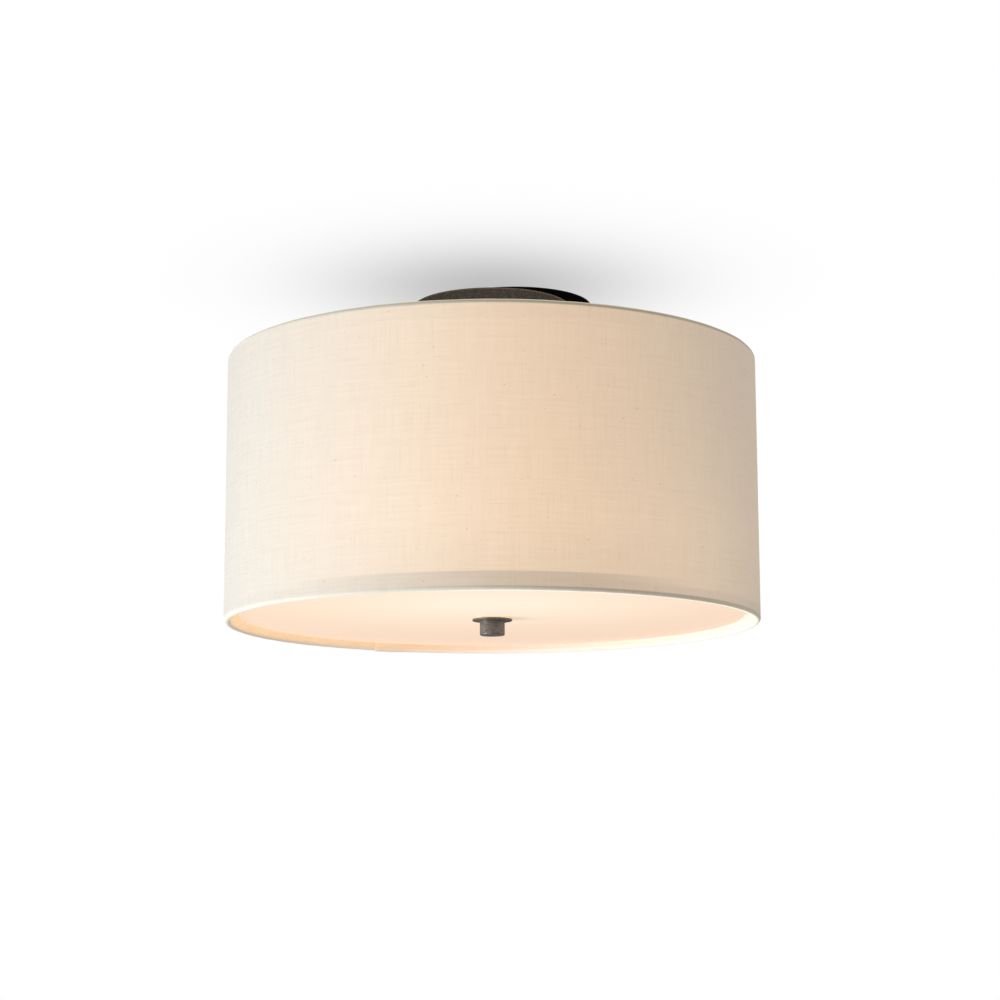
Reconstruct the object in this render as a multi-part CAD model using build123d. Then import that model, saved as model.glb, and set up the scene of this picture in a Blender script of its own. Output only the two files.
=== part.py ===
from build123d import *
import math
import os

# Flush mount ceiling light: a round canopy on the ceiling, a short stem, a linen drum shade on a
# wire spider, three medium-base bulbs on a cluster, and a flat diffuser held by a finial.
# Millimetres. The origin is on the ceiling face, on the lamp's axis, and +Z points up.

# Shade
shade_diameter = 406.4
shade_height = 203.2
shade_drop = 46.0          # ceiling face to the shade's top edge
fabric_thickness = 0.6
liner_thickness = 0.5
ring_wire = 3.0            # wire of the two shade rings and of the spider's arms
ring_clearance = 0.25      # round the wire and the liner inside the turned-in fabric
ring_gap = 0.1             # liner to the wire beside it
hem_depth = 13.3           # fabric turned in over each ring
tuck_depth = 0.9           # straight stretch of the turned-in fabric behind the ring
tuck_run = 6.1             # height in which it slants back to the liner

# Spider that carries the shade
spider_recess = 10.0       # top edge of the shade to the top of the hub
hub_diameter = 28.0
hub_thickness = 2.0
arm_count = 3
arm_root = 3.0             # of each arm, inside the hub's rim
arm_first_angle = 90.0
arm_clearance = 0.3        # notch in the fabric around each arm

# Canopy and its mounting strap
canopy_diameter = 120.65
canopy_depth = 22.0
canopy_wall = 1.2
canopy_corner = 5.0
strap_end_gap = 7.125      # strap's end to the inside of the canopy
strap_width = 22.0
strap_thickness = 2.0
strap_corner = 4.0
strap_slot_length = 17.5   # spans boxes tapped at 69.85 and at 88.9
strap_slot_margin = 3.55   # slot's end to the strap's end
strap_slot_width = 4.8
strap_collar_diameter = 16.0
strap_collar_height = 3.0
ground_screw_offset = 21.0
ground_screw_shank = 4.8
ground_screw_head = 9.5
ground_screw_head_height = 3.0
ground_screw_cross = 6.3   # length of the slots in its head
ground_screw_cross_width = 1.2
ground_screw_cross_depth = 1.5
ground_washer_diameter = 11.5
ground_washer_thickness = 0.8

# Threaded tube, nuts and sleeve
tube_diameter = 9.6
tube_bore = 6.4
tapped_clearance = 0.1     # round a tube in a tapped or a clamped hole
nut_width = 17.0
nut_height = 4.0
nut_chamfer = 0.9
ring_nut_diameter = 24.0
ring_nut_height = 6.0
ring_nut_flutes = 30
flute_diameter = 1.4
sleeve_diameter = 14.0
sleeve_edge = 0.6

# Lamp cluster
cluster_diameter = 46.0
cluster_height = 30.0
cluster_wall = 2.0
cluster_top_wall = 3.0
cluster_edge = 2.0
boss_diameter = 15.0
boss_height = 1.5
cover_plug_height = 3.0
cover_flange_thickness = 1.5
cover_clearance = 0.2

# Sockets, measured outwards from the cluster along each socket's own axis
socket_count = 3
socket_first_angle = -90.0
bulb_headroom = 10.0       # spider hub to the top of a bulb
nipple_length = 14.0
nipple_inside = 4.0        # of that, inside the cluster
socket_nut_height = 3.0
socket_nut_width = 14.0
socket_diameter = 34.0
socket_wall = 2.3
cap_length = 13.5
cap_wall = 3.0
cap_skirt_wall = 1.3
cap_edge = 3.0
socket_length = 39.0
socket_spigot = 5.0        # part of the body that enters the cap
socket_spigot_clearance = 0.1
socket_floor = 3.0
terminal_depth = 8.0
terminal_wall = 2.0
terminal_thickness = 0.6
terminal_width = 5.0
terminal_gap = 0.4         # between the two terminals
terminal_reach = 6.2
shell_wall = 0.8
shell_clearance = 0.1
shell_length = 26.0
shell_lip = 3.8
tab_thickness = 1.2
tab_inset = 1.0
tab_clearance = 0.2
contact_diameter = 8.0
contact_thickness = 1.0
contact_tongue_diameter = 5.0
contact_tongue_height = 2.2
rivet_diameter = 1.6

# Bulbs
bulb_diameter = 60.3
bulb_length = 108.0
bulb_gap = 0.1             # socket contact to the tip of a seated bulb
bulb_tip_diameter = 9.5
bulb_tip_height = 1.8
insulator_height = 3.9
base_diameter = 26.2
base_wall = 0.5
base_height = 18.3
neck_diameter = 24.6
neck_length = 10.0
glass_wall = 1.0
neck_join_angle = 50.0     # where the neck's curve meets the round end

# Leads from the sockets up through the stem
lead_diameter = 2.0
lead_bend = 6.0
lead_gap = 0.05            # between leads side by side
lead_top = 1.5             # ends this far inside the tube's upper mouth

# Diffuser and finial
diffuser_thickness = 3.0
diffuser_edge_gap = 6.5    # inside the rolled edge of the shade
diffuser_recess = 5.7      # lower face above the shade's bottom edge
diffuser_edge_round = 0.8
diffuser_hole_clearance = 0.5
gasket_diameter = 26.0
gasket_thickness = 1.0
washer_diameter = 30.4
washer_thickness = 1.3
washer_edge = 0.4
finial_diameter = 19.05
finial_height = 11.0
finial_edge = 1.0
finial_engagement = 7.5    # thread inside the finial
finial_bore_spare = 0.8
finial_bore_clearance = 0.15
stop_washer_diameter = 30.0
stop_washer_thickness = 1.5

# Heights that follow
tube_radius = tube_diameter / 2
clamped_hole = tube_radius + tapped_clearance
shade_radius = shade_diameter / 2
shade_top = -shade_drop
shade_bottom = shade_top - shade_height
liner_outer = shade_radius - fabric_thickness
liner_inner = liner_outer - liner_thickness
roll_radius = (liner_thickness + ring_wire) / 2 + ring_clearance + fabric_thickness
roll_top = shade_top - roll_radius
roll_bottom = shade_bottom + roll_radius
ring_radius = liner_inner - ring_gap - ring_wire / 2
hub_top = shade_top - spider_recess
hub_bottom = hub_top - hub_thickness
hub_middle = (hub_top + hub_bottom) / 2
canopy_bottom = -canopy_depth
strap_length = canopy_diameter - 2 * (canopy_wall + strap_end_gap)
strap_slot_spacing = strap_length - 2 * strap_slot_margin - strap_slot_length
ring_nut_bottom = canopy_bottom - ring_nut_height
socket_z = hub_bottom - bulb_headroom - bulb_diameter / 2
cluster_top = socket_z + cluster_height / 2
cluster_bottom = cluster_top - cluster_height
cover_bottom = cluster_bottom - cover_flange_thickness
diffuser_bottom = shade_bottom + diffuser_recess
diffuser_top = diffuser_bottom + diffuser_thickness
gasket_bottom = diffuser_bottom - gasket_thickness
washer_bottom = gasket_bottom - washer_thickness
finial_bottom = washer_bottom - finial_height
tube_bottom = washer_bottom - finial_engagement

# Distances from the lamp's axis along a socket's axis that follow
cluster_radius = cluster_diameter / 2
boss_face = cluster_radius + boss_height
cap_back = boss_face + socket_nut_height
cap_mouth = cap_back + cap_length
body_back = cap_mouth - socket_spigot
floor_back = body_back + terminal_depth
floor_front = floor_back + socket_floor
body_mouth = body_back + socket_length
terminal_back = floor_back - terminal_thickness
contact_top = floor_front + contact_thickness + contact_tongue_height
tip_start = contact_top + bulb_gap
insulator_start = tip_start + bulb_tip_height
base_start = insulator_start + insulator_height
base_end = base_start + base_height
bulb_crown = tip_start + bulb_length
shell_outer = socket_diameter / 2 - socket_wall - shell_clearance
shell_inner = shell_outer - shell_wall


def save(name, *solids):
    """Write one sub-part, made of one solid or of several alike."""
    shape = solids[0] if len(solids) == 1 else Compound(children=list(solids))
    export_step(shape, f"parts/{name}.step")


def rod(radius, low, high, x=0, y=0):
    """A round bar along Z between two heights."""
    return Pos(x, y, (low + high) / 2) * Cylinder(radius, high - low)


def ring(outer, hole, low, high):
    """A flat or tall ring on the Z axis."""
    return rod(outer, low, high) - rod(hole, low, high)


def block(x0, x1, y0, y1, z0, z1):
    """A box between two corners."""
    middle = Pos((x0 + x1) / 2, (y0 + y1) / 2, (z0 + z1) / 2)
    return middle * Box(x1 - x0, y1 - y0, z1 - z0)


def edge_at(solid, height, radius):
    """The round edge of a solid at one height and radius."""
    return [
        edge
        for edge in solid.edges().filter_by(GeomType.CIRCLE)
        if abs(edge.arc_center.Z - height) < 1e-6 and abs(edge.radius - radius) < 1e-6
    ]


def hex_nut(width, low, high):
    """A hexagon nut round the threaded tube, with its corners turned off."""
    blank = Pos(0, 0, low) * extrude(RegularPolygon(width / 2, 6, major_radius=False), high - low)
    corner = width / math.sqrt(3)
    turned = rod(corner, low, high)
    turned = chamfer(turned.edges().filter_by(GeomType.CIRCLE), nut_chamfer)
    return (blank & turned) - rod(clamped_hole, low, high)


def around(count, first_angle):
    """The angles of pieces that are spread evenly round the axis."""
    return [first_angle + 360 / count * k for k in range(count)]


def radial_place(angle, height):
    """A frame with Z outwards from the lamp's axis, Y up and X sideways."""
    turn = math.radians(angle)
    outwards = (math.cos(turn), math.sin(turn), 0)
    sideways = (-math.sin(turn), math.cos(turn), 0)
    return Plane(origin=(0, 0, height), x_dir=sideways, z_dir=outwards).location


def turned_profile(lines):
    """Revolve a closed outline of radius and height about the Z axis."""
    return revolve(Plane.XZ * make_face(lines), Axis.Z)


# Canopy, strap and what clamps them

def make_canopy():
    radius = canopy_diameter / 2
    outside = rod(radius, canopy_bottom, 0)
    outside = fillet(edge_at(outside, canopy_bottom, radius), canopy_corner)
    floor = canopy_bottom + canopy_wall
    inside = rod(radius - canopy_wall, floor, 0)
    inside = fillet(edge_at(inside, floor, radius - canopy_wall), canopy_corner - canopy_wall)
    return outside - inside - rod(clamped_hole, canopy_bottom, floor)


def make_strap():
    outline = RectangleRounded(strap_length, strap_width, strap_corner)
    strap = Pos(0, 0, -strap_thickness) * extrude(outline, strap_thickness)
    strap += rod(strap_collar_diameter / 2, -strap_thickness - strap_collar_height, 0)
    strap -= rod(clamped_hole, -strap_thickness - strap_collar_height, 0)
    slot = extrude(SlotOverall(strap_slot_length, strap_slot_width), strap_thickness)
    for side in (-1, 1):
        strap -= Pos(side * strap_slot_spacing / 2, 0, -strap_thickness) * slot
    strap -= rod(ground_screw_shank / 2, -strap_thickness, 0, ground_place[0], ground_place[1])
    return strap


def make_ground_screw():
    washer_low = -strap_thickness - ground_washer_thickness
    head_low = washer_low - ground_screw_head_height
    head = extrude(RegularPolygon(ground_screw_head / 2, 6, major_radius=False), ground_screw_head_height)
    screw = Pos(*ground_place, head_low) * head
    screw += rod(ground_washer_diameter / 2, washer_low, -strap_thickness, *ground_place)
    screw += rod(ground_screw_shank / 2, -strap_thickness, 0, *ground_place)
    along, across = ground_screw_cross / 2, ground_screw_cross_width / 2
    slot = block(-along, along, -across, across, 0, ground_screw_cross_depth)
    return screw - Pos(*ground_place, head_low) * slot


def make_ring_nut():
    radius = ring_nut_diameter / 2
    nut = rod(radius, ring_nut_bottom, canopy_bottom)
    nut = chamfer(nut.edges().filter_by(GeomType.CIRCLE), nut_chamfer)
    for angle in around(ring_nut_flutes, 0):
        turn = math.radians(angle)
        x, y = radius * math.cos(turn), radius * math.sin(turn)
        nut -= rod(flute_diameter / 2, ring_nut_bottom, canopy_bottom, x, y)
    return nut - rod(clamped_hole, ring_nut_bottom, canopy_bottom)


def make_sleeve():
    sleeve = rod(sleeve_diameter / 2, hub_top, ring_nut_bottom)
    sleeve = fillet(sleeve.edges().filter_by(GeomType.CIRCLE), sleeve_edge)
    return sleeve - rod(clamped_hole, hub_top, ring_nut_bottom)


# Shade: wire rings, liner and fabric

def make_arms(radius):
    """The spider's arms, from the hub up to the top ring."""
    start = hub_diameter / 2 - arm_root
    length = math.hypot(ring_radius - start, roll_top - hub_middle)
    rise = math.degrees(math.atan2(roll_top - hub_middle, ring_radius - start))
    arm = Pos(start, 0, hub_middle) * Rot(0, 90 - rise, 0) * Pos(0, 0, length / 2) * Cylinder(radius, length)
    return [Rot(0, 0, angle) * arm for angle in around(arm_count, arm_first_angle)]


def make_spider():
    spider = ring(hub_diameter / 2, clamped_hole, hub_bottom, hub_top)
    spider += Pos(0, 0, roll_top) * Torus(ring_radius, ring_wire / 2)
    for arm in make_arms(ring_wire / 2):
        spider += arm
    return spider


def roll_outline(edge, inwards):
    """Corners of the turned-in fabric at one edge; inwards is -1 at the top and 1 at the bottom."""
    centre = edge + inwards * roll_radius
    behind = shade_radius - 2 * roll_radius
    tuck_end = centre + inwards * tuck_depth
    seat = tuck_end + inwards * tuck_run
    hem_end = edge + inwards * hem_depth
    outer = [
        (behind, centre),
        (behind, tuck_end),
        (liner_inner - fabric_thickness, seat),
        (liner_inner - fabric_thickness, hem_end),
    ]
    inner = [
        (liner_inner, hem_end),
        (liner_inner, seat),
        (behind + fabric_thickness, tuck_end),
        (behind + fabric_thickness, centre),
    ]
    return centre, Polyline(*outer, *inner)


def make_fabric():
    wall_inner = shade_radius - fabric_thickness
    middle = shade_radius - roll_radius
    lines = []
    for edge, inwards in ((shade_top, -1), (shade_bottom, 1)):
        centre, turned_in = roll_outline(edge, inwards)
        behind = shade_radius - 2 * roll_radius
        crest = centre - inwards * (roll_radius - fabric_thickness)
        lines += [
            ThreePointArc((shade_radius, centre), (middle, edge), (behind, centre)),
            turned_in,
            ThreePointArc((behind + fabric_thickness, centre), (middle, crest), (wall_inner, centre)),
        ]
    lines.append(Line((shade_radius, roll_bottom), (shade_radius, roll_top)))
    lines.append(Line((wall_inner, roll_bottom), (wall_inner, roll_top)))
    fabric = turned_profile(lines)
    for arm in make_arms(ring_wire / 2 + arm_clearance):
        fabric -= arm
    return fabric


# Lamp cluster and sockets

def make_cluster_body():
    bosses = [
        radial_place(angle, socket_z) * rod(boss_diameter / 2, 0, boss_face)
        for angle in around(socket_count, socket_first_angle)
    ]
    holes = [
        radial_place(angle, socket_z) * rod(clamped_hole, 0, boss_face)
        for angle in around(socket_count, socket_first_angle)
    ]
    body = rod(cluster_radius, cluster_bottom, cluster_top)
    body = fillet(edge_at(body, cluster_top, cluster_radius), cluster_edge)
    for boss in bosses:
        body += boss
    body -= rod(cluster_radius - cluster_wall, cluster_bottom, cluster_top - cluster_top_wall)
    for hole in holes:
        body -= hole
    return body - rod(clamped_hole, cluster_top - cluster_top_wall, cluster_top)


def make_cluster_cover():
    plug = cluster_radius - cluster_wall - cover_clearance
    cover = rod(plug, cluster_bottom, cluster_bottom + cover_plug_height)
    flange = rod(cluster_radius, cover_bottom, cluster_bottom)
    cover += chamfer(edge_at(flange, cover_bottom, cluster_radius), cover_flange_thickness / 2)
    return cover - rod(clamped_hole, cover_bottom, cluster_bottom + cover_plug_height)


def make_socket_nipple():
    start = cluster_radius - nipple_inside
    return ring(tube_radius, tube_bore / 2, start, start + nipple_length)


def make_socket_cap():
    radius = socket_diameter / 2
    cap = rod(radius, cap_back, cap_mouth)
    cap = fillet(edge_at(cap, cap_back, radius), cap_edge)
    cap -= rod(radius - cap_skirt_wall, cap_back + cap_wall, cap_mouth)
    return cap - rod(clamped_hole, cap_back, cap_back + cap_wall)


def make_socket_body():
    radius = socket_diameter / 2
    spigot = radius - cap_skirt_wall - socket_spigot_clearance
    body = rod(spigot, body_back, cap_mouth) + rod(radius, cap_mouth, body_mouth)
    body -= rod(spigot - terminal_wall, body_back, floor_back)
    body -= rod(radius - socket_wall, floor_front, body_mouth)
    body -= rod(rivet_diameter / 2 + tab_clearance, floor_back, floor_front, lead_side)
    tab_start = -tab_outer - tab_clearance
    tab_end = -tab_outer + tab_thickness + tab_clearance
    tab_half = terminal_width / 2 + tab_clearance
    return body - block(tab_start, tab_end, -tab_half, tab_half, floor_back, floor_front)


def make_screw_shell():
    shell = ring(shell_outer, shell_inner, floor_front, floor_front + shell_length)
    shell += ring(shell_inner, shell_inner - shell_lip, floor_front, floor_front + shell_wall)
    half = terminal_width / 2
    shell += block(-tab_outer, -tab_outer + tab_thickness, -half, half, terminal_back, floor_front + shell_wall)
    return shell + block(-tab_outer, -terminal_gap / 2, -half, half, terminal_back, floor_back)


def make_contact():
    contact = rod(contact_diameter / 2, floor_front, floor_front + contact_thickness)
    tongue = rod(contact_tongue_diameter / 2, floor_front, contact_top)
    contact += fillet(edge_at(tongue, contact_top, contact_tongue_diameter / 2), contact_tongue_height / 2)
    contact += rod(rivet_diameter / 2, floor_back, floor_front, lead_side)
    half = terminal_width / 2
    return contact + block(terminal_gap / 2, terminal_reach, -half, half, terminal_back, floor_back)


# Bulbs, each about its socket's axis

def make_bulb_base():
    base = rod(base_diameter / 2, base_start, base_end)
    return base - rod(base_diameter / 2 - base_wall, base_start, base_end)


def make_bulb_foot():
    """The insulator under the screw base, with the contact at its tip."""
    cone = Pos(0, 0, (insulator_start + base_start) / 2) * Cone(
        bulb_tip_diameter / 2, base_diameter / 2, insulator_height
    )
    tip = rod(bulb_tip_diameter / 2, tip_start, insulator_start)
    return cone, fillet(edge_at(tip, tip_start, bulb_tip_diameter / 2), bulb_tip_height / 2)


def bulb_solid(inset, foot):
    """The bulb's glass envelope as a full solid, drawn in by an inset."""
    neck = neck_diameter / 2 - inset
    ball = bulb_diameter / 2 - inset
    centre = bulb_crown - bulb_diameter / 2
    join = math.radians(neck_join_angle)
    halfway = (join + math.pi) / 2
    join_point = (ball * math.sin(join), centre - ball * math.cos(join))
    halfway_point = (ball * math.sin(halfway), centre - ball * math.cos(halfway))
    along = ((0, 1), (math.cos(join), math.sin(join)))
    return turned_profile([
        Line((0, foot), (neck, foot)),
        Line((neck, foot), (neck, base_end)),
        Spline((neck, base_end), join_point, tangents=along),
        ThreePointArc(join_point, halfway_point, (0, centre + ball)),
        Line((0, centre + ball), (0, foot)),
    ])


def make_bulb_glass():
    foot = base_end - neck_length
    return bulb_solid(0, foot) - bulb_solid(glass_wall, foot - glass_wall)


# Leads

def make_lead(side):
    """One lead from its terminal, in through the nipple and up the stem."""
    depth = lead_spacing * math.cos(math.radians(30))
    top = -lead_top - socket_z
    path = FilletPolyline(
        (side * lead_side, 0, terminal_back),
        (side * lead_side, 0, depth),
        (side * lead_side, top, depth),
        radius=lead_bend,
    )
    section = Plane(origin=path @ 0, z_dir=path % 0) * Circle(lead_diameter / 2)
    return sweep(section, path=path)


# Diffuser and finial

def make_diffuser():
    radius = shade_radius - 2 * roll_radius - diffuser_edge_gap
    disc = rod(radius, diffuser_bottom, diffuser_top)
    disc = fillet(disc.edges().filter_by(GeomType.CIRCLE), diffuser_edge_round)
    return disc - rod(tube_radius + diffuser_hole_clearance, diffuser_bottom, diffuser_top)


def make_finial_washer():
    radius = washer_diameter / 2
    washer = rod(radius, washer_bottom, gasket_bottom)
    washer = fillet(edge_at(washer, washer_bottom, radius), washer_edge)
    return washer - rod(tube_radius + diffuser_hole_clearance, washer_bottom, gasket_bottom)


def make_finial():
    radius = finial_diameter / 2
    finial = rod(radius, finial_bottom, washer_bottom)
    finial = fillet(edge_at(finial, finial_bottom, radius), finial_edge)
    bore_end = tube_bottom - finial_bore_spare
    return finial - rod(tube_radius + finial_bore_clearance, bore_end, washer_bottom)


ground_place = (ground_screw_offset, 0)
lead_spacing = lead_diameter + lead_gap
lead_side = lead_spacing / 2
tab_outer = shell_inner - tab_inset

save("canopy", make_canopy())
save("mounting_strap", make_strap())
save("ground_screw", make_ground_screw())
strap_underside = -strap_thickness - strap_collar_height
save("strap_lock_nut", hex_nut(nut_width, strap_underside - nut_height, strap_underside))
save("stem_tube", ring(tube_radius, tube_bore / 2, cluster_top - cluster_top_wall, 0))
save("canopy_ring_nut", make_ring_nut())
save("stem_sleeve", make_sleeve())

save("shade_spider", make_spider())
save("spider_lock_nut", hex_nut(nut_width, hub_bottom - nut_height, hub_bottom))
save("bottom_ring", Pos(0, 0, roll_bottom) * Torus(ring_radius, ring_wire / 2))
save("shade_liner", ring(liner_outer, liner_inner, roll_bottom, roll_top))
save("shade_fabric", make_fabric())

save("cluster_lock_nut", hex_nut(nut_width, cluster_top, cluster_top + nut_height))
save("cluster_body", make_cluster_body())
save("cluster_cover", make_cluster_cover())
save("cover_lock_nut", hex_nut(nut_width, cover_bottom - nut_height, cover_bottom))

insulator, tip_contact = make_bulb_foot()
socket_pieces = {
    "socket_nipple": make_socket_nipple(),
    "socket_lock_nut": hex_nut(socket_nut_width, boss_face, cap_back),
    "socket_cap": make_socket_cap(),
    "socket_body": make_socket_body(),
    "screw_shell": make_screw_shell(),
    "centre_contact": make_contact(),
    "bulb_tip": tip_contact,
    "bulb_insulator": insulator,
    "bulb_base": make_bulb_base(),
    "bulb_glass": make_bulb_glass(),
}
shared_nodes = {"socket_nipple": "socket_nipples", "socket_lock_nut": "socket_lock_nuts"}
socket_places = [radial_place(angle, socket_z) for angle in around(socket_count, socket_first_angle)]
for name, piece in socket_pieces.items():
    copies = [place * piece for place in socket_places]
    if name in shared_nodes:
        save(shared_nodes[name], *copies)
    else:
        for number, copy in enumerate(copies, 1):
            save(f"{name}_{number}", copy)

for name, side in (("black_leads", 1), ("white_leads", -1)):
    save(name, *[place * make_lead(side) for place in socket_places])

lower_tube_top = cluster_bottom + cover_plug_height + nut_height / 2
save("lower_tube", ring(tube_radius, tube_bore / 2, tube_bottom, lower_tube_top))
stop_washer_top = diffuser_top + stop_washer_thickness
save("stop_washer", ring(stop_washer_diameter / 2, clamped_hole, diffuser_top, stop_washer_top))
save("stop_nut", hex_nut(nut_width, stop_washer_top, stop_washer_top + nut_height))
save("diffuser", make_diffuser())
gasket_hole = tube_radius + diffuser_hole_clearance
save("diffuser_gasket", ring(gasket_diameter / 2, gasket_hole, gasket_bottom, diffuser_bottom))
save("finial_washer", make_finial_washer())
save("finial", make_finial())
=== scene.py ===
"""A flush mount ceiling light: dark pewter canopy and finial, lit linen drum shade, frosted diffuser."""

import math

import bmesh
import bpy
import numpy as np
from mathutils import Matrix, Vector, noise


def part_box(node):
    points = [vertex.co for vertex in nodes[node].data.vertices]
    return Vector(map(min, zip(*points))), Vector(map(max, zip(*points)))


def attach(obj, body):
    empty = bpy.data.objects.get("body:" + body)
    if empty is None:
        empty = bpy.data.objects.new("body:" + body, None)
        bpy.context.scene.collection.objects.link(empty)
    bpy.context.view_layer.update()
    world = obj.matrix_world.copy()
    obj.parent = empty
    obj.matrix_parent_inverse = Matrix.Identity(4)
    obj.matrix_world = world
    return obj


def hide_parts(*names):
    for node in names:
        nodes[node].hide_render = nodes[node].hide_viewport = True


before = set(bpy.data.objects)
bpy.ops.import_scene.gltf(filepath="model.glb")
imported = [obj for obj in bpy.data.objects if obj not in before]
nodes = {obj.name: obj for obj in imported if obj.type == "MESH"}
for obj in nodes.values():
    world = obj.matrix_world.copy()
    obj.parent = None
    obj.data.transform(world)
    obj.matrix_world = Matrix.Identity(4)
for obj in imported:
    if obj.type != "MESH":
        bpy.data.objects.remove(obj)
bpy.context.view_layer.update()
MM = 0.001

# ---------------------------------------------------------------------------------------------
# Sizes taken from the frame
# ---------------------------------------------------------------------------------------------
shade_low, shade_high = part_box("shade_fabric")
liner_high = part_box("shade_liner")[1]
bulb_low, bulb_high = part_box("bulb_glass_1")
SHADE_RADIUS = shade_high.x
SHADE_TOP = shade_high.z
SHADE_BOTTOM = shade_low.z
LINER_OUTER = liner_high.x
ROLL_RADIUS = shade_high.z - liner_high.z
FABRIC = SHADE_RADIUS - LINER_OUTER
LAMP_HEIGHT = (bulb_low.z + bulb_high.z) / 2

# ---------------------------------------------------------------------------------------------
# Sizes and angles of the CAD pieces that no box in the frame gives
# ---------------------------------------------------------------------------------------------
LINER = 0.5 * MM                # thickness of the styrene backing
HEM = 13.3 * MM                 # reach of the turned-in cloth from the shade's edge
TUCK = 0.9 * MM                 # from the level of the edge wire to where the cloth leaves it
TUCK_RUN = 6.1 * MM             # height over which the cloth then comes to lie on the backing
TUBE_BORE = 3.2 * MM            # radius of the bore of both threaded tubes
BULB_ANGLES = [-90.0, 30.0, 150.0]
ARM_ANGLES = [90.0, 210.0, 330.0]

# ---------------------------------------------------------------------------------------------
# Material helpers
# ---------------------------------------------------------------------------------------------


class Shader:
    """A material's node tree, with short ways to add and join nodes."""

    def __init__(self, name):
        self.material = bpy.data.materials.new(name)
        self.material.use_nodes = True
        self.tree = self.material.node_tree
        self.surface = self.tree.nodes["Principled BSDF"]

    def add(self, kind, **settings):
        node = self.tree.nodes.new(kind)
        for key, value in settings.items():
            setattr(node, key, value)
        return node

    def join(self, output, target):
        self.tree.links.new(output, target)

    def feed(self, socket, output):
        """Join an output to one of the surface's sockets."""
        self.join(output, self.surface.inputs[socket])

    def set(self, **values):
        """Set sockets of the surface to constant values."""
        for key, value in values.items():
            self.surface.inputs[key.replace("_", " ")].default_value = value

    def place(self, scale=(1, 1, 1), coordinate="Object", shift=(0, 0, 0)):
        """Coordinates, stretched by a scale and then shifted."""
        source = self.add("ShaderNodeTexCoord").outputs[coordinate]
        mapping = self.add("ShaderNodeMapping")
        mapping.inputs["Scale"].default_value = scale
        mapping.inputs["Location"].default_value = shift
        self.join(source, mapping.inputs["Vector"])
        return mapping.outputs["Vector"]

    def height(self, where):
        """The height of a place."""
        node = self.add("ShaderNodeSeparateXYZ")
        self.join(where, node.inputs["Vector"])
        return node.outputs["Z"]

    def noise(self, where, scale, detail=2.0, roughness=0.5):
        node = self.add("ShaderNodeTexNoise")
        node.inputs["Scale"].default_value = scale
        node.inputs["Detail"].default_value = detail
        node.inputs["Roughness"].default_value = roughness
        self.join(where, node.inputs["Vector"])
        return node.outputs["Fac"]

    def remap(self, value, low, high, to_low=0.0, to_high=1.0, smooth=False):
        node = self.add("ShaderNodeMapRange")
        if smooth:
            node.interpolation_type = "SMOOTHSTEP"
        for key, number in zip(("From Min", "From Max", "To Min", "To Max"), (low, high, to_low, to_high)):
            node.inputs[key].default_value = number
        self.join(value, node.inputs["Value"])
        return node.outputs["Result"]

    def math(self, operation, a, b=0.0):
        node = self.add("ShaderNodeMath", operation=operation)
        for socket, value in zip(node.inputs, (a, b)):
            if isinstance(value, (int, float)):
                socket.default_value = value
            else:
                self.join(value, socket)
        return node.outputs["Value"]

    def weigh(self, a, b, share):
        """Mean of two values, the second with a share and the first with the rest."""
        return self.math("ADD", self.math("MULTIPLY", a, 1 - share), self.math("MULTIPLY", b, share))

    def mix(self, factor, a, b, blend="MIX"):
        node = self.add("ShaderNodeMix", data_type="RGBA", blend_type=blend)
        for socket, value in ((node.inputs["Factor"], factor), (node.inputs["A"], a), (node.inputs["B"], b)):
            if isinstance(value, (int, float)):
                socket.default_value = value
            elif isinstance(value, tuple):
                socket.default_value = (*value, 1.0) if len(value) == 3 else value
            else:
                self.join(value, socket)
        return node.outputs["Result"]

    def between(self, value, a, b, low=0.3, high=0.7):
        """From one colour to another while a value goes from low to high."""
        return self.mix(self.remap(value, low, high), a, b)

    def stain(self, under, mask, share, colour):
        """A colour laid over what is under it, by a share of a mask."""
        return self.mix(self.math("MULTIPLY", mask, share), under, colour)

    def ramp(self, factor, stops):
        node = self.add("ShaderNodeValToRGB")
        elements = node.color_ramp.elements
        while len(elements) < len(stops):
            elements.new(0.5)
        for element, (place, colour) in zip(elements, stops):
            element.position = place
            element.color = (*colour, 1.0)
        self.join(factor, node.inputs["Fac"])
        return node.outputs["Color"]

    def bump(self, height, distance, strength=1.0):
        node = self.add("ShaderNodeBump")
        node.inputs["Strength"].default_value = strength
        node.inputs["Distance"].default_value = distance
        self.join(height, node.inputs["Height"])
        self.feed("Normal", node.outputs["Normal"])


# ---------------------------------------------------------------------------------------------
# Materials
# ---------------------------------------------------------------------------------------------


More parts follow.
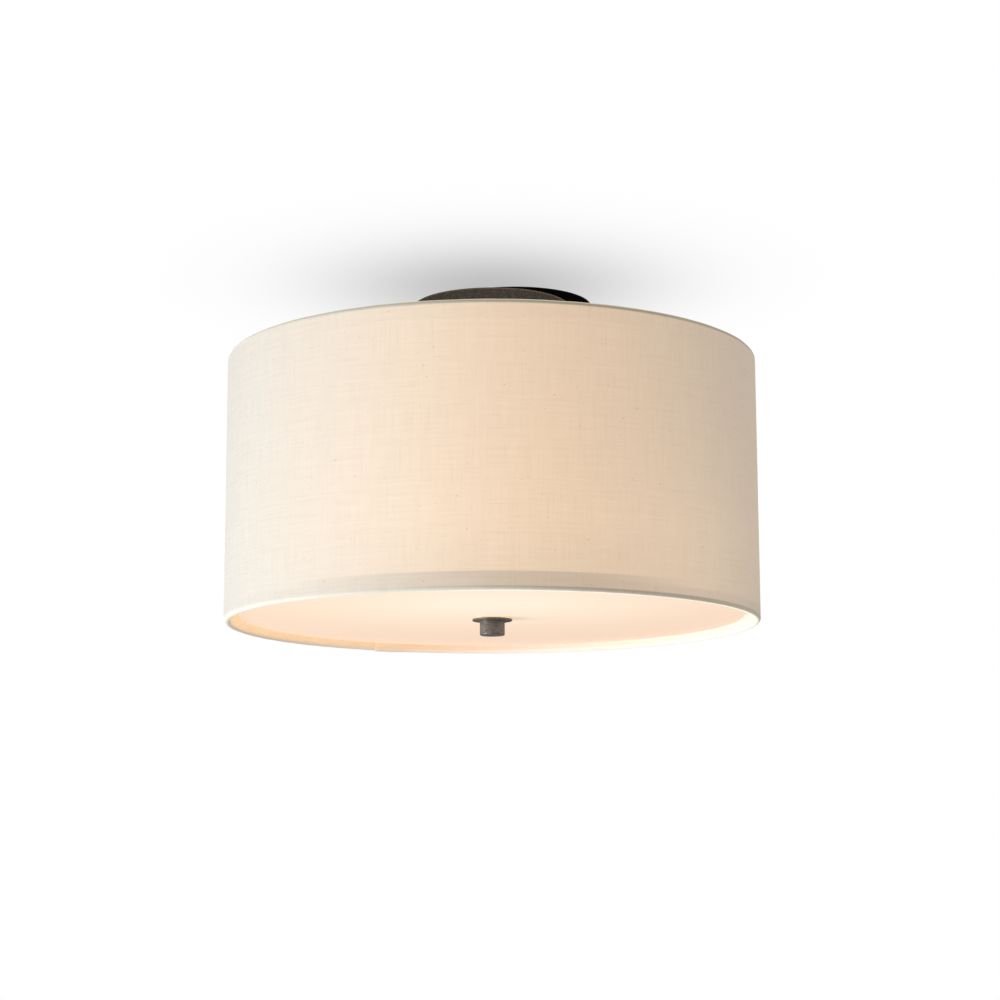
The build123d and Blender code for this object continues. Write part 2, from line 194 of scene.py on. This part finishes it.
def linen():
    """Natural linen: fine uneven threads both ways, long slubs, a few dark flecks, lit from inside."""
    s = Shader("linen")

    def grain(around, upward, detail, roughness=0.5):
        """Noise on the flat cloth, with so many steps per metre round the shade and up it."""
        return s.noise(s.place((around, upward, 1), "UV"), 1.0, detail, roughness)

    threads = s.weigh(grain(1150, 34, 2.0, 0.6), grain(26, 1150, 2.0, 0.6), 0.5)
    broad = s.weigh(grain(560, 14, 1.0), grain(12, 560, 1.0), 0.5)
    weave = s.weigh(threads, broad, 0.3)
    slub_up = s.remap(grain(900, 52, 0.0), 0.73, 0.88)
    slub_across = s.remap(grain(50, 920, 0.0), 0.71, 0.87)
    slubs = s.math("MAXIMUM", slub_up, slub_across)
    flecks = s.remap(grain(430, 620, 0.0), 0.81, 0.87)
    clouds = s.noise(s.place(coordinate="UV"), 22.0, 3.0)

    tone = s.ramp(weave, [(0.36, (0.77, 0.755, 0.70)), (0.5, (0.83, 0.82, 0.765)),
                          (0.64, (0.885, 0.878, 0.832))])
    tone = s.stain(tone, slubs, 0.20, (0.66, 0.63, 0.56))
    tone = s.stain(tone, flecks, 0.50, (0.36, 0.33, 0.27))
    tone = s.mix(s.remap(clouds, 0.3, 0.7, 0.0, 0.06), tone, (0.76, 0.73, 0.66))
    s.feed("Base Color", tone)

    through = s.ramp(weave, [(0.34, (0.89, 0.89, 0.89)), (0.5, (0.955, 0.955, 0.955)),
                             (0.66, (1.0, 1.0, 1.0))])
    through = s.stain(through, slubs, 0.22, (0.60, 0.62, 0.62))
    through = s.stain(through, flecks, 0.55, (0.42, 0.40, 0.38))
    glow = s.add("ShaderNodeAttribute", attribute_name="glow").outputs["Color"]
    s.feed("Emission Color", s.mix(1.0, glow, through, "MULTIPLY"))

    s.set(Roughness=0.95, Emission_Strength=1.0, Sheen_Weight=0.15, Sheen_Roughness=0.6,
          Specular_IOR_Level=0.2)
    s.bump(s.math("ADD", weave, s.math("MULTIPLY", slubs, 0.5)), 0.2 * MM, 0.35)
    return s.material


def pewter(name="pewter", painted_light_lift=1.0):
    """Dark pewter-bronze paint with a fine mottle, and a painted golden-brown highlight along the rim that
    meets the ceiling.
    """
    s = Shader(name)
    where = s.place()
    speckle = s.noise(where, 1500.0, 3.0, 0.7)
    mottle = s.noise(where, 420.0, 3.0, 0.6)
    tones = ((0.38, (0.062, 0.058, 0.054)), (0.5, (0.118, 0.111, 0.102)), (0.62, (0.195, 0.184, 0.17)))
    # a lift above 1 gives a copy painted lighter all over, which stands in for more light falling on it
    tone = s.ramp(s.weigh(speckle, mottle, 0.25),
                  [(place, tuple(painted_light_lift * part for part in colour)) for place, colour in tones])
    # painted highlight: a golden-brown band along the rim that meets the ceiling
    rim_highlight = s.remap(s.height(where), -1.3 * MM, -0.5 * MM)
    s.feed("Base Color", s.stain(tone, rim_highlight, 0.8, (0.32, 0.26, 0.18)))
    s.feed("Roughness", s.remap(mottle, 0.3, 0.7, 0.38, 0.52))
    s.set(Metallic=0.55)
    s.bump(speckle, 0.06 * MM, 0.5)
    return s.material


def plated_steel(name="plated_steel", tint=(0.62, 0.62, 0.60), rough=0.3):
    """Zinc plate, or another bare metal by its tint, with a faint cloudy sheen and fine turning marks."""
    s = Shader(name)
    clouds = s.noise(s.place(), 160.0, 4.0, 0.6)
    marks = s.noise(s.place((40, 40, 2600)), 1.0, 2.0)
    darker = tuple(0.72 * part for part in tint)
    s.feed("Base Color", s.between(clouds, darker, tint, 0.35))
    s.feed("Roughness", s.remap(clouds, 0.3, 0.7, rough - 0.08, rough + 0.14))
    s.set(Metallic=1.0)
    s.bump(marks, 0.03 * MM, 0.4)
    return s.material


def enamel(name, tint, rough=0.35):
    """Sprayed enamel with slight orange peel, darker and glossier in patches."""
    s = Shader(name)
    where = s.place()
    peel = s.noise(where, 900.0, 2.0)
    patches = s.noise(where, 60.0, 3.0)
    darker = tuple(0.86 * part for part in tint)
    s.feed("Base Color", s.between(patches, darker, tint, 0.35))
    s.feed("Roughness", s.remap(patches, 0.3, 0.7, rough - 0.05, rough + 0.12))
    s.bump(peel, 0.03 * MM, 0.4)
    return s.material


def moulded(name, tint, rough=0.4):
    """Moulded plastic or dark glass with a fine grain."""
    s = Shader(name)
    where = s.place()
    fine = s.noise(where, 700.0, 3.0)
    wide = s.noise(where, 45.0, 3.0)
    lighter = tuple(min(1.0, 1.25 * part + 0.01) for part in tint)
    s.feed("Base Color", s.between(wide, tint, lighter, 0.35))
    s.feed("Roughness", s.remap(fine, 0.3, 0.7, rough - 0.05, rough + 0.08))
    s.bump(fine, 0.04 * MM, 0.5)
    return s.material


def styrene():
    """The shade's translucent backing, seen from inside, with the bulbs' light painted on as a warm glow,
    brightest level with the bulbs.
    """
    s = Shader("styrene")
    where = s.place()
    height = s.height(where)
    wide = s.noise(where, 30.0, 3.0)
    s.feed("Base Color", s.between(wide, (0.84, 0.81, 0.75), (0.90, 0.88, 0.83), 0.35))
    below = s.remap(height, SHADE_BOTTOM, LAMP_HEIGHT, 0.35, 1.0, smooth=True)
    above = s.remap(height, LAMP_HEIGHT, SHADE_TOP, 1.0, 0.45, smooth=True)
    s.feed("Emission Color", s.mix(s.math("MULTIPLY", below, above), (0.30, 0.16, 0.07), (1.0, 0.72, 0.44)))
    s.set(Roughness=0.55, Emission_Strength=0.38)
    s.bump(s.noise(where, 500.0, 2.0), 0.03 * MM, 0.3)
    return s.material


def opal():
    """Frosted opal acrylic, lit from above: brightest near the front, warmer towards the edge."""
    s = Shader("opal")
    spot = s.add("ShaderNodeTexGradient", gradient_type="QUADRATIC_SPHERE")
    s.join(s.place((3.2, 3.6, 0.0), shift=(0.0, 0.32, 0.0)), spot.inputs["Vector"])
    lit = s.ramp(spot.outputs["Fac"], [(0.0, (0.585, 0.385, 0.25)), (0.3, (0.655, 0.465, 0.32)),
                                       (0.8, (0.725, 0.575, 0.432))])
    s.feed("Emission Color", lit)
    frost = s.noise(s.place(), 900.0, 2.0)
    s.feed("Base Color", s.between(frost, (0.504, 0.45, 0.396), (0.546, 0.504, 0.456)))
    s.set(Roughness=0.42, Emission_Strength=1.0)
    s.bump(frost, 0.02 * MM, 0.5)
    return s.material


def silicone():
    """Translucent silicone rubber that carries light from the diffuser it presses on."""
    s = Shader("silicone")
    fine = s.noise(s.place(), 800.0, 2.0)
    s.feed("Base Color", s.between(fine, (0.80, 0.75, 0.66), (0.86, 0.82, 0.74)))
    s.feed("Emission Color", s.between(fine, (0.48, 0.36, 0.22), (0.52, 0.40, 0.26)))
    s.set(Roughness=0.5, Emission_Strength=1.0)
    s.bump(fine, 0.03 * MM, 0.4)
    return s.material


def frosted_bulb():
    """A soft white bulb that is lit, with a faint uneven tint."""
    s = Shader("frosted_bulb")
    dust = s.noise(s.place(), 120.0, 3.0)
    s.feed("Base Color", s.between(dust, (0.90, 0.86, 0.78), (0.95, 0.92, 0.86)))
    s.feed("Emission Color", s.between(dust, (1.0, 0.84, 0.64), (1.0, 0.88, 0.72)))
    s.set(Roughness=0.3, Emission_Strength=1.9)
    return s.material


# ---------------------------------------------------------------------------------------------
# Objects and meshes
# ---------------------------------------------------------------------------------------------


def put(name, data):
    """A new object in the scene."""
    thing = bpy.data.objects.new(name, data)
    bpy.context.scene.collection.objects.link(thing)
    return thing


def smooth(mesh, sharp):
    """Shade a mesh smooth, apart from edges that turn by more than some degrees."""
    for polygon in mesh.polygons:
        polygon.use_smooth = True
    mesh.set_sharp_from_angle(angle=math.radians(sharp))


# ---------------------------------------------------------------------------------------------
# Section of the shade's cloth
# ---------------------------------------------------------------------------------------------

ROLL_STEPS = 18
MIDDLE_ROWS = 36
# Rows of the wall near its edges, in mm from where the roll begins, closer where the light changes
EDGE_ROWS = [0.8, 2.5, 5.0, 7.5, 9.6, 10.3, 11.0, 12.5, 16.0]


def arc(centre_z, start, end):
    """Places round an edge wire: radius, height, zone and degrees from outwards."""
    places = []
    for k in range(ROLL_STEPS + 1):
        bend = start + (end - start) * k / ROLL_STEPS
        turn = math.radians(bend)
        r = SHADE_RADIUS - ROLL_RADIUS + ROLL_RADIUS * math.cos(turn)
        places.append((r, centre_z + ROLL_RADIUS * math.sin(turn), "roll", bend))
    return places


def hem(wire, inwards, edge):
    """Places of a turned-in hem from behind the wire to its end; inwards is 1 to go up, -1 to go down."""
    seat_r = LINER_OUTER - LINER - FABRIC
    behind = SHADE_RADIUS - 2 * ROLL_RADIUS
    start, end = wire + inwards * (TUCK + TUCK_RUN), edge + inwards * HEM
    places = [(behind, wire + inwards * TUCK), (seat_r, start), (seat_r, (start + end) / 2), (seat_r, end)]
    return [(r, z, "hem", 0) for r, z in places]


def fabric_section():
    """The fabric's outer face from the top hem's end, over the roll, down the wall and in again."""
    top, bottom = SHADE_TOP - ROLL_RADIUS, SHADE_BOTTOM + ROLL_RADIUS
    fall = top - bottom
    edge = [row * MM for row in EDGE_ROWS]
    middle = np.linspace(edge[-1], fall - edge[-1], MIDDLE_ROWS)[1:-1]
    rows = edge + list(middle) + [fall - row for row in reversed(edge)]
    places = hem(top, -1, SHADE_TOP)[::-1] + arc(top, 180, 0)
    places += [(SHADE_RADIUS, top - row, "wall", 0) for row in rows]
    return places + arc(bottom, 0, -180) + hem(bottom, 1, SHADE_BOTTOM)


def section_normals(places):
    """Unit normals in radius and height, on the outer side of the cloth."""
    normals = []
    for k in range(len(places)):
        before, after = places[max(k - 1, 0)], places[min(k + 1, len(places) - 1)]
        dr, dz = after[0] - before[0], after[1] - before[1]
        size = math.hypot(dr, dz)
        normals.append((-dz / size, dr / size))
    return normals


# ---------------------------------------------------------------------------------------------
# Light through the shade's cloth, painted on as emission
# ---------------------------------------------------------------------------------------------

WALL_LIGHT = 0.245              # between the lobes
WALL_LIGHT_TINT = (1.0, 0.67, 0.40)
# Lobes of the light: middle and width in degrees, and size; one for each bulb, and a dip on the window side
LOBES = [(BULB_ANGLES[0] + 6, 42, 0.41), (BULB_ANGLES[1] + 10, 42, 0.36), (BULB_ANGLES[2] - 5, 42, 0.25),
         (-175, 38, -0.23)]
LOW_LOBE = (-42, 20, 0.12)      # this one grows towards the lower edge
# Shares of the light that the turned-in cloth keeps back: before a bulb, and all round in its lowest band
HEM_SHADOW = 0.35
TOP_HEM_SHADOW = 0.045
EDGE_SHADOW = 0.17
EDGE_BAND = 8 * MM
# Painted highlight on the top of the upper roll, and painted light inside the top hem, as emission colours
TOP_ROLL_PAINTED_LIGHT = (0.50, 0.41, 0.26)
TOP_HEM_PAINTED_LIGHT = (0.35, 0.20, 0.10)
# Painted light and shade, as emission colours by angle, of the rolled edges' outer side, of the lower one's
# underside, and of the cloth behind that
OUTER_ROLL_PAINTED_LIGHT = [
    (0, (0.15, 0.12, 0.07)), (90, (0.20, 0.16, 0.09)), (223, (0.20, 0.17, 0.10)),
    (250, (0.18, 0.15, 0.08)), (270, (0.15, 0.11, 0.05)), (300, (0.13, 0.08, 0.02)),
    (335, (0.13, 0.08, 0.02)), (360, (0.16, 0.12, 0.06)),
]
UNDER_ROLL_PAINTED_LIGHT = [
    (0, (0.40, 0.36, 0.28)), (80, (0.30, 0.24, 0.16)), (115, (0.12, 0.06, 0.02)),
    (160, (0.06, 0.02, 0.0)), (223, (0.20, 0.17, 0.10)), (250, (0.25, 0.22, 0.15)),
    (270, (0.55, 0.51, 0.42)), (340, (0.55, 0.51, 0.42)), (360, (0.40, 0.36, 0.28)),
]
INSIDE_PAINTED_LIGHT = [
    (0, (0.42, 0.24, 0.18)), (80, (0.42, 0.24, 0.18)), (110, (0.42, 0.22, 0.09)),
    (140, (0.38, 0.19, 0.05)), (200, (0.38, 0.19, 0.05)), (360, (0.42, 0.24, 0.18)),
]


def angle_between(a, b):
    return abs((a - b + 180) % 360 - 180)


def bell(distance, width, power=2):
    return math.exp(-((distance / width) ** power))


def lobe(angle, middle, width, size):
    return size * bell(angle_between(angle, middle), width)


def lamp_glow(angle, z):
    """Light that comes through the wall: rising slightly to its lower quarter, and falling over that."""
    fall = (SHADE_TOP - z) / (SHADE_TOP - SHADE_BOTTOM)
    level = WALL_LIGHT + sum(lobe(angle, *each) for each in LOBES) + fall * fall * lobe(angle, *LOW_LOBE)
    return level * (0.90 + 0.14 * fall - 0.64 * max(fall - 0.75, 0.0))


def hem_shade(angle, z):
    """Share of the light that passes where the cloth is turned in behind the wall: least before a bulb."""
    near = max(bell(angle_between(angle, bulb - 3), 36, 4) for bulb in BULB_ANGLES)
    if z - SHADE_BOTTOM < EDGE_BAND:
        return 1 - EDGE_SHADOW - (HEM_SHADOW - EDGE_SHADOW) * near
    if z - SHADE_BOTTOM < HEM:
        return 1 - HEM_SHADOW * near
    return 1 - TOP_HEM_SHADOW * near if SHADE_TOP - z < HEM else 1.0


def painted_light_around(angle, stops):
    places = [place for place, tone in stops]
    return tuple(np.interp(angle % 360, places, part) for part in zip(*(tone for place, tone in stops)))


def blend(a, b, share):
    share = min(max(share, 0.0), 1.0)
    return tuple(x + (y - x) * share for x, y in zip(a, b))


def fabric_glow(angle, z, zone, bend):
    """Emission of one place of the cloth; on a roll, bend is in degrees from outwards."""
    low = z < (SHADE_TOP + SHADE_BOTTOM) / 2
    if zone == "wall":
        strength = lamp_glow(angle, z) * hem_shade(angle, z)
        return tuple(strength * part for part in WALL_LIGHT_TINT)
    inside = painted_light_around(angle, INSIDE_PAINTED_LIGHT)
    if zone == "hem":
        return inside if low else TOP_HEM_PAINTED_LIGHT
    outer = painted_light_around(angle, OUTER_ROLL_PAINTED_LIGHT)
    if not low:
        return blend(outer, TOP_ROLL_PAINTED_LIGHT, (abs(bend) - 30) / 20)
    under = blend(outer, painted_light_around(angle, UNDER_ROLL_PAINTED_LIGHT), (abs(bend) - 55) / 15)
    return blend(under, inside, (abs(bend) - 120) / 30)


# ---------------------------------------------------------------------------------------------
# Shade cloth
# ---------------------------------------------------------------------------------------------

COLUMNS = 480                   # of faces, along the strip
SEAM_ANGLE = 116.0
SEAM_OVERLAP = 12 * MM
SEAM_RISE = 30 * MM             # length over which the strip's end comes to lie on its start
SEAM_GAP = 0.05 * MM            # air between the two
SLIT = 1.9 * MM                 # half of the slit in the turned-in cloth for each arm of the spider
WAVE = 0.10 * MM                # long unevenness of the whole cloth
LUMPS = 0.16 * MM               # short unevenness of the rolled edges


def slit_rows(section):
    """Rows of the section that an arm of the spider passes through, behind the top wire."""
    height = SHADE_TOP - ROLL_RADIUS
    reach = SHADE_RADIUS - 1.4 * ROLL_RADIUS
    spans = enumerate(zip(section, section[1:]))
    middles = [(row, (a[0] + b[0]) / 2, (a[1] + b[1]) / 2) for row, (a, b) in spans]
    return [row for row, r, z in middles if r < reach and abs(z - height) < SLIT]


def slit_walls(slits, at):
    """Cut edges of the slits, between the cloth's two faces."""
    walls = []
    for column, row in sorted(slits):
        sides = {
            (column, row - 1): ((column + 1, row), (column, row)),
            (column, row + 1): ((column, row + 1), (column + 1, row + 1)),
            (column - 1, row): ((column, row), (column, row + 1)),
            (column + 1, row): ((column + 1, row + 1), (column + 1, row)),
        }
        for beside, (start, end) in sides.items():
            if beside not in slits:
                walls.append((at(*start, 0), at(*end, 0), at(*end, 1), at(*start, 1)))
    return walls


def cloth_faces(rows, slits):
    """Both faces of the strip, its cut edges, and the walls of the slits."""

    def at(column, row, layer):
        return 2 * (column * rows + row) + layer

    faces = slit_walls(slits, at)
    for column in range(COLUMNS):
        for row in range(rows - 1):
            if (column, row) in slits:
                continue
            for layer in (0, 1):
                quad = [at(column + x, row + y, layer) for x, y in ((0, 0), (1, 0), (1, 1), (0, 1))]
                faces.append(quad if layer else quad[::-1])
        for row in (0, rows - 1):
            quad = (at(column, row, 0), at(column, row, 1), at(column + 1, row, 1), at(column + 1, row, 0))
            faces.append(quad if row else quad[::-1])
    for column in (0, COLUMNS):
        for row in range(rows - 1):
            quad = (at(column, row, 0), at(column, row + 1, 0), at(column, row + 1, 1), at(column, row, 1))
            faces.append(quad if column else quad[::-1])
    return faces


def build_fabric():
    """The linen as one strip, wrapped once round and lapped over its own start at the back."""
    section = fabric_section()
    normals = section_normals(section)
    lengths = [0.0]
    for a, b in zip(section, section[1:]):
        lengths.append(lengths[-1] + math.hypot(b[0] - a[0], b[1] - a[1]))
    around = 2 * math.pi * SHADE_RADIUS
    strip = around + SEAM_OVERLAP
    lines = [strip * column / COLUMNS for column in range(COLUMNS + 1)]
    slits = set()
    for arm in ARM_ANGLES:
        middle = math.radians((arm - SEAM_ANGLE) % 360) * SHADE_RADIUS
        column = int(middle / strip * COLUMNS)
        lines[column], lines[column + 1] = middle - SLIT, middle + SLIT
        slits |= {(column, row) for row in slit_rows(section)}
    verts, uvs, glow = [], [], []
    for along in lines:
        angle = math.degrees(along / SHADE_RADIUS) + SEAM_ANGLE
        x, y = math.cos(math.radians(angle)), math.sin(math.radians(angle))
        lap = min(max((along - (around - SEAM_RISE)) / SEAM_RISE, 0.0), 1.0)
        rise = (FABRIC + SEAM_GAP) * lap * lap * (3 - 2 * lap)
        for (r, z, zone, bend), (nr, nz), v in zip(section, normals, lengths):
            shift = rise + WAVE * noise.noise((x * 3.1, y * 3.1, z * 22))
            if zone == "roll":
                shift += LUMPS * noise.noise((x * 19, y * 19, z * 60 + 7))
            for depth in (0.0, FABRIC):
                radius = r + nr * (shift - depth)
                verts.append((radius * x, radius * y, z + nz * (shift - depth)))
                uvs.append((along, v))
                glow.append(fabric_glow(angle, z, zone, bend))
    mesh = bpy.data.meshes.new("shade_cloth")
    mesh.from_pydata(verts, [], cloth_faces(len(section), slits))
    layer = mesh.uv_layers.new(name="UVMap")
    for loop in mesh.loops:
        layer.data[loop.index].uv = uvs[loop.vertex_index]
    paint = mesh.color_attributes.new("glow", "FLOAT_COLOR", "POINT")
    for number, colour in enumerate(glow):
        paint.data[number].color = (*colour, 1.0)
    mesh.validate()
    smooth(mesh, 60)
    mesh.materials.append(linen())
    cloth = put("shade_cloth", mesh)
    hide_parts("shade_fabric")
    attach(cloth, "fixture")


# ---------------------------------------------------------------------------------------------
# Threaded tubes
# ---------------------------------------------------------------------------------------------

PITCH = 25.4 / 27 * MM
THREAD_DEPTH = 0.45 * MM
THREAD_STEPS = 28
MERGE = 0.01 * MM               # places closer than this are one


def round_place(radius, step, z):
    """A place at one of the steps round a tube."""
    angle = 2 * math.pi * step / THREAD_STEPS
    return (radius * math.cos(angle), radius * math.sin(angle), z)


def thread_rows(low, high, crest):
    """Places along the thread's root and crest, from a turn below the tube to a turn above it."""
    root = crest - THREAD_DEPTH
    profile = ((0.0, root), (0.12, root), (0.48, crest), (0.62, crest))     # share of the pitch, and radius
    for turn in range(math.ceil((high - low) / PITCH) + 2):
        for part, radius in profile:
            yield [round_place(radius, step, low + (turn - 1 + part + step / THREAD_STEPS) * PITCH)
                   for step in range(THREAD_STEPS + 1)]


def threaded_tube(name, node, material):
    """A tube with a running thread, cut off square and open right through."""
    low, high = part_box(node)
    mesh = bmesh.new()
    rows = [[mesh.verts.new(place) for place in row] for row in thread_rows(low.z, high.z, high.x)]
    for below, above in zip(rows, rows[1:]):
        for k in range(THREAD_STEPS):
            mesh.faces.new((below[k], below[k + 1], above[k + 1], above[k]))
    bmesh.ops.remove_doubles(mesh, verts=mesh.verts, dist=MERGE)
    for height, side in ((low.z, -1), (high.z, 1)):
        everything = mesh.verts[:] + mesh.edges[:] + mesh.faces[:]
        bmesh.ops.bisect_plane(mesh, geom=everything, dist=0.002 * MM, plane_co=(0, 0, height),
                               plane_no=(0, 0, side), clear_outer=True)
    bore = []
    for height in (low.z, high.z):
        mouth = [edge for edge in mesh.edges
                 if edge.is_boundary and abs(edge.verts[0].co.z - height) < MERGE]
        loop = [mesh.verts.new(round_place(TUBE_BORE, step, height)) for step in range(THREAD_STEPS)]
        inner = [mesh.edges.new((loop[k], loop[(k + 1) % THREAD_STEPS])) for k in range(THREAD_STEPS)]
        bmesh.ops.bridge_loops(mesh, edges=mouth + inner)
        bore.append(loop)
    for k in range(THREAD_STEPS):
        after = (k + 1) % THREAD_STEPS
        mesh.faces.new((bore[0][after], bore[0][k], bore[1][k], bore[1][after]))
    bmesh.ops.recalc_face_normals(mesh, faces=mesh.faces)
    data = bpy.data.meshes.new(name)
    mesh.to_mesh(data)
    mesh.free()
    smooth(data, 35)
    data.materials.append(material)
    tube = put(name, data)
    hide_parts(node)
    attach(tube, "fixture")


# ---------------------------------------------------------------------------------------------
# Finishes of the CAD pieces
# ---------------------------------------------------------------------------------------------


def dress(material, *names):
    for name in names:
        mesh = nodes[name].data
        mesh.materials.clear()
        mesh.materials.append(material)


def dress_all():
    """Every CAD piece's material, and the threads that stand in for the plain tubes."""
    dress(pewter(), "canopy", "canopy_ring_nut", "stem_sleeve")
    # finial and washer: a copy painted 1.5 times lighter, as painted light, since they stand in more light
    # than the canopy in the shade's shadow
    dress(pewter("pewter_painted_lighter", 1.5), "finial_washer", "finial")
    zinc = plated_steel()
    dress(zinc, "mounting_strap", "strap_lock_nut", "stem_tube", "spider_lock_nut", "cluster_lock_nut",
          "cover_lock_nut", "socket_nipples", "socket_lock_nuts", "lower_tube", "stop_washer", "stop_nut")
    threaded_tube("stem_thread", "stem_tube", zinc)
    threaded_tube("lower_thread", "lower_tube", zinc)
    dress(enamel("white_enamel", (0.80, 0.78, 0.73)), "cluster_body", "cluster_cover")
    dress(enamel("green_enamel", (0.03, 0.17, 0.06)), "ground_screw")
    dress(enamel("white_wire", (0.82, 0.80, 0.75), 0.45), "shade_spider", "bottom_ring")
    dress(styrene(), "shade_liner")
    dress(opal(), "diffuser")
    dress(silicone(), "diffuser_gasket")
    dress(moulded("black_insulation", (0.012, 0.012, 0.012), 0.45), "black_leads")
    dress(moulded("white_insulation", (0.75, 0.74, 0.70), 0.45), "white_leads")
    phenolic = moulded("phenolic", (0.018, 0.016, 0.015), 0.35)
    brass = plated_steel("brass", (0.72, 0.52, 0.25), 0.28)
    aluminium = plated_steel("aluminium", (0.78, 0.78, 0.77), 0.32)
    solder = plated_steel("solder", (0.5, 0.5, 0.5), 0.45)
    black_glass = moulded("black_glass", (0.01, 0.01, 0.012), 0.15)
    bulb = frosted_bulb()
    for k in range(1, len(BULB_ANGLES) + 1):
        dress(brass, f"socket_cap_{k}", f"centre_contact_{k}")
        dress(phenolic, f"socket_body_{k}")
        dress(aluminium, f"screw_shell_{k}", f"bulb_base_{k}")
        dress(solder, f"bulb_tip_{k}")
        dress(black_glass, f"bulb_insulator_{k}")
        dress(bulb, f"bulb_glass_{k}")


# ---------------------------------------------------------------------------------------------
# Camera, lights and stage
# ---------------------------------------------------------------------------------------------


def place_camera():
    """The photograph's view: from below and under two metres off, looking slightly up."""
    distance = 1.7609
    below_rim = 0.20924
    pitch, yaw, roll = (math.radians(a) for a in (9.8638, 0.2002, -0.1757))
    ahead = Vector((math.sin(yaw) * math.cos(pitch), math.cos(yaw) * math.cos(pitch), math.sin(pitch)))
    side = Vector((math.cos(yaw), -math.sin(yaw), 0.0))
    up = side.cross(ahead)
    right = side * math.cos(roll) + up * math.sin(roll)
    top = up * math.cos(roll) - side * math.sin(roll)
    lens = bpy.data.cameras.new("camera")
    lens.lens, lens.sensor_width = 83.746, 36.0
    lens.clip_start, lens.clip_end = 0.05, 60.0
    camera = put("camera", lens)
    turn = Matrix((right, top, -ahead)).transposed().to_4x4()
    camera.matrix_world = Matrix.Translation((0.0, -distance, SHADE_BOTTOM - below_rim)) @ turn
    bpy.context.scene.camera = camera


def area_light(name, place, aim, size, power, colour):
    data = bpy.data.lights.new(name, "AREA")
    data.shape = "DISK"
    data.size, data.energy, data.color = size, power, colour
    light = put(name, data)
    light.location = place
    light.rotation_euler = (Vector(aim) - Vector(place)).to_track_quat("-Z", "Y").to_euler()


def stage_plane(name, size, height):
    """A level square, not part of the lamp, that only the camera sees."""
    mesh = bpy.data.meshes.new(name)
    half = size / 2
    corners = [(x * half, y * half, height) for x, y in ((-1, -1), (1, -1), (1, 1), (-1, 1))]
    mesh.from_pydata(corners, [], [(0, 1, 2, 3)])
    sheet = put(name, mesh)
    sheet.visible_diffuse = sheet.visible_glossy = sheet.visible_transmission = sheet.visible_shadow = False
    return mesh


def ceiling_shade():
    """A clear plane that only darkens what is behind it: the lamp's soft shade and the canopy's shadow."""
    s = Shader("ceiling_shade")
    s.tree.nodes.remove(s.surface)
    clear = s.add("ShaderNodeBsdfTransparent")
    s.join(clear.outputs["BSDF"], s.tree.nodes["Material Output"].inputs["Surface"])

    def distance(x, y):
        """How far a place of the ceiling is from x, y."""
        length = s.add("ShaderNodeVectorMath", operation="LENGTH")
        s.join(s.place((1, 1, 0), shift=(-x, -y, 0)), length.inputs[0])
        return length.outputs["Value"]

    spread = s.math("DIVIDE", distance(0.0, -0.06), 0.12)
    square = s.math("MULTIPLY", spread, spread)
    soft = s.math("MULTIPLY", s.math("EXPONENT", s.math("MULTIPLY", square, -1.0)), 0.47)
    contact = s.remap(distance(0.0175, -0.002), 0.0605, 0.0590, 0.0, 0.998, smooth=True)
    below = s.math("SUBTRACT", 1.0, s.add("ShaderNodeNewGeometry").outputs["Backfacing"])
    dark = s.math("MULTIPLY", s.math("MAXIMUM", soft, contact), below)
    s.join(s.math("SUBTRACT", 1.0, dark), clear.inputs["Color"])
    return s.material


def pale_floor():
    s = Shader("pale_floor")
    s.set(Base_Color=(0.0, 0.0, 0.0, 1.0), Emission_Color=(0.90, 0.90, 0.895, 1.0), Emission_Strength=1.0,
          Specular_IOR_Level=0.0)
    return s.material


def set_world():
    """A plain white room to the camera, and a dim even light to everything else."""
    world = bpy.data.worlds.new("studio")
    bpy.context.scene.world = world
    world.use_nodes = True
    tree = world.node_tree
    background = tree.nodes["Background"]
    path = tree.nodes.new("ShaderNodeLightPath")
    level = tree.nodes.new("ShaderNodeMapRange")
    level.inputs["To Min"].default_value = 0.24
    level.inputs["To Max"].default_value = 1.0
    tree.links.new(path.outputs["Is Camera Ray"], level.inputs["Value"])
    tree.links.new(level.outputs["Result"], background.inputs["Strength"])
    background.inputs["Color"].default_value = (1.0, 1.0, 1.0, 1.0)


def set_stage():
    ceiling = stage_plane("ceiling", size=1.4, height=0.3 * MM)
    ceiling.flip_normals()
    ceiling.materials.append(ceiling_shade())
    floor = stage_plane("floor", size=40.0, height=-2.4)
    floor.materials.append(pale_floor())
    set_world()
    area_light("key", place=(-2.4, -0.5, -1.7), aim=(0.0, 0.0, -0.12), size=1.8, power=75.0,
               colour=(1.0, 1.0, 1.0))
    area_light("fill", place=(2.5, 0.3, -1.3), aim=(0.0, 0.0, -0.15), size=1.6, power=9.0,
               colour=(1.0, 0.99, 0.97))


bpy.context.scene.view_settings.view_transform = "Standard"
bpy.context.scene.cycles.use_denoising = True
place_camera()
set_stage()
dress_all()
build_fabric()

bpy.context.view_layer.update()
